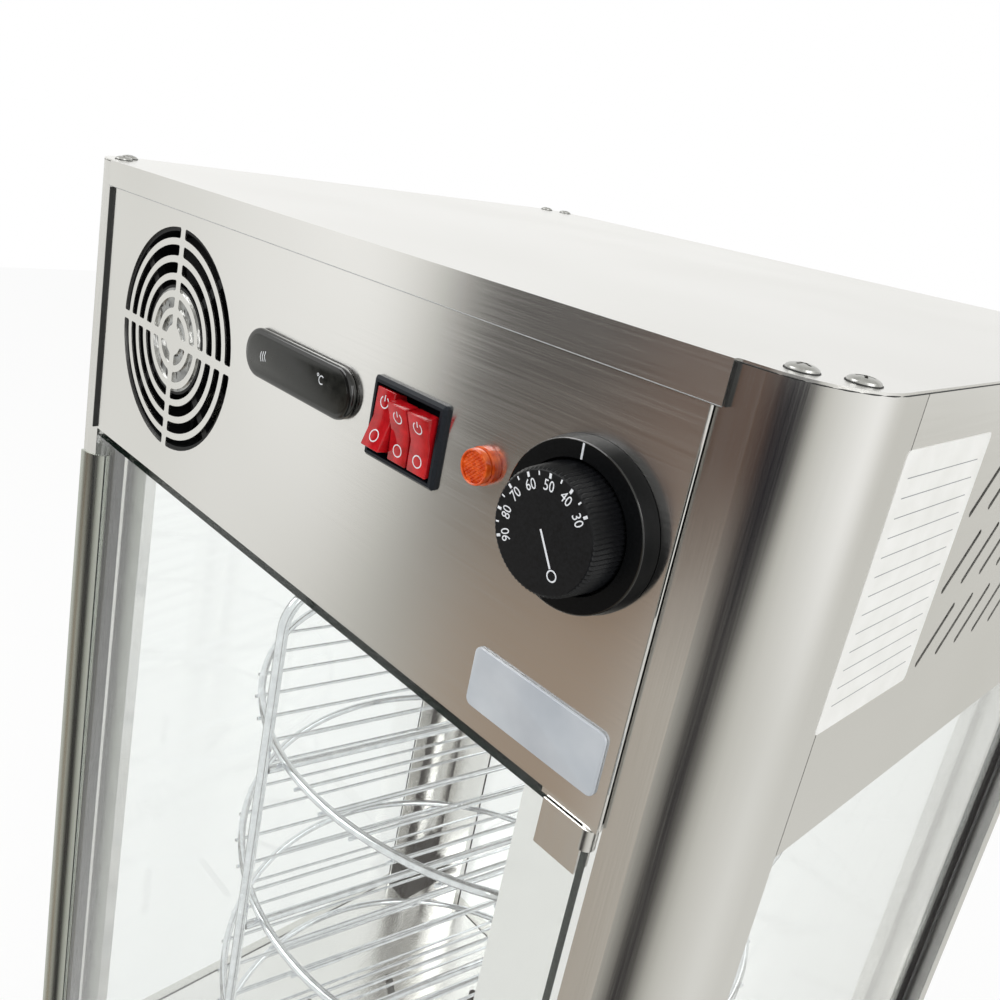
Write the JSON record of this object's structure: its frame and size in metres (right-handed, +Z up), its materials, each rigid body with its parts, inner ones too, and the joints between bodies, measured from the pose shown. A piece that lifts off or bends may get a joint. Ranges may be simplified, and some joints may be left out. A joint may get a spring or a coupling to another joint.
{
  "type": "pizza warmer display",
  "caption": "Upright glass-sided pizza warmer cabinet with a stainless header, hinged glass door and a turning rack of round wire tiers.",
  "frame": {"origin": "on the surface that the feet stand on, under the middle of the cabinet", "axes": "+Z up, front with the door and the controls towards -Y, +X to the right as seen from the front"},
  "size_m": [0.478, 0.4702, 0.83],
  "materials": {
    "stainless": "brushed 4",
    "galvanised": "galvanised",
    "screw_steel": "bright",
    "clear_glass": "clear",
    "door_glass": "clear, polished edge",
    "black_rubber": "matt",
    "satin_aluminium": "satin anodised",
    "turned_aluminium": "turned",
    "fan_black": "moulded",
    "display_black": "gloss",
    "display_lens": "smoked",
    "switch_black": "moulded",
    "rocker_red": "translucent",
    "pilot_orange": "translucent",
    "dial_black": "moulded",
    "copper": "drawn",
    "rack_chrome": "bright chrome plate",
    "bush_plastic": "natural",
    "motor_grey": "satin",
    "element_steel": "heat tinted",
    "ceramic_white": "glazed"
  },
  "bodies": {
    "cabinet": {"base_front_panel": "stainless", "base_pan": "galvanised", "base_rear_panel": "stainless", "base_side_panels": "stainless", "bulb_clips": "galvanised", "ceiling_plate": "stainless", "cord_gland": "dial_black", "cover_screws": "screw_steel", "dial_bezel": "dial_black", "display_body": "display_black", "display_lens": "display_lens", "door_seal": "black_rubber", "door_stop_left": "stainless", "door_stop_right": "stainless", "element_supports": "galvanised", "fan_frame": "fan_black", "floor_plate": "stainless", "front_posts": "stainless", "gear_motor": "motor_grey", "glass_bedding": "black_rubber", "header_front_panel": "stainless", "header_rear_panel": "stainless", "header_side_panels": "stainless", "heating_element": "element_steel", "lamp_bulb": "clear_glass", "lamp_dome": "clear_glass", "lamp_housing": "galvanised", "left_glass": "clear_glass", "motor_bracket": "galvanised", "pilot_body": "pilot_orange", "pilot_lens": "pilot_orange", "pivot_brackets": "screw_steel", "rack_bushes": "bush_plastic", "rear_glass": "clear_glass", "rear_posts": "stainless", "rear_strips": "stainless", "right_glass": "clear_glass", "rubber_feet": "black_rubber", "sensor_line": "copper", "switch_housing": "switch_black", "terminal_block": "ceramic_white", "thermostat_body": "galvanised", "top_cover": "stainless"},
    "door": {"door_glass": "door_glass", "door_pull": "satin_aluminium", "door_clamps": "stainless"},
    "rack": {"rack_hoop": "rack_chrome", "rack_tier_1": "rack_chrome", "rack_tier_2": "rack_chrome", "rack_tier_3": "rack_chrome", "rack_tier_4": "rack_chrome", "drive_hub": "turned_aluminium", "top_spindle": "turned_aluminium"},
    "fan_wheel": {"fan_rotor": "fan_black"},
    "knob": {"thermostat_knob": "dial_black", "thermostat_shaft": "screw_steel"},
    "rocker_left": {"rocker_1": "rocker_red"},
    "rocker_middle": {"rocker_2": "rocker_red"},
    "rocker_right": {"rocker_3": "rocker_red"}
  },
  "joints": [
    {"name": "door_hinge", "type": "hinge", "parent": "cabinet", "child": "door", "pos_m": [0.1945, -0.2125, 0.39], "axis": [0, 0, 1], "range_deg": [0, 105]},
    {"name": "rack_turn", "type": "hinge", "parent": "cabinet", "child": "rack", "pos_m": [0, 0.006, 0.39], "axis": [0, 0, 1], "continuous": true},
    {"name": "fan_spin", "type": "hinge", "parent": "cabinet", "child": "fan_wheel", "pos_m": [-0.1125, -0.195, 0.7457], "axis": [0, -1, 0], "continuous": true},
    {"name": "knob_turn", "type": "hinge", "parent": "cabinet", "child": "knob", "pos_m": [0.1665, -0.225, 0.7615], "axis": [0, -1, 0], "range_deg": [-125, 170]},
    {"name": "left_rocker_tilt", "type": "hinge", "parent": "cabinet", "child": "rocker_left", "pos_m": [0.0657, -0.2135, 0.7617], "axis": [1, 0, 0], "range_deg": [0, 22]},
    {"name": "middle_rocker_tilt", "type": "hinge", "parent": "cabinet", "child": "rocker_middle", "pos_m": [0.0779, -0.2135, 0.7617], "axis": [1, 0, 0], "range_deg": [-22, 0]},
    {"name": "right_rocker_tilt", "type": "hinge", "parent": "cabinet", "child": "rocker_right", "pos_m": [0.0901, -0.2135, 0.7617], "axis": [1, 0, 0], "range_deg": [-22, 0]}
  ]
}
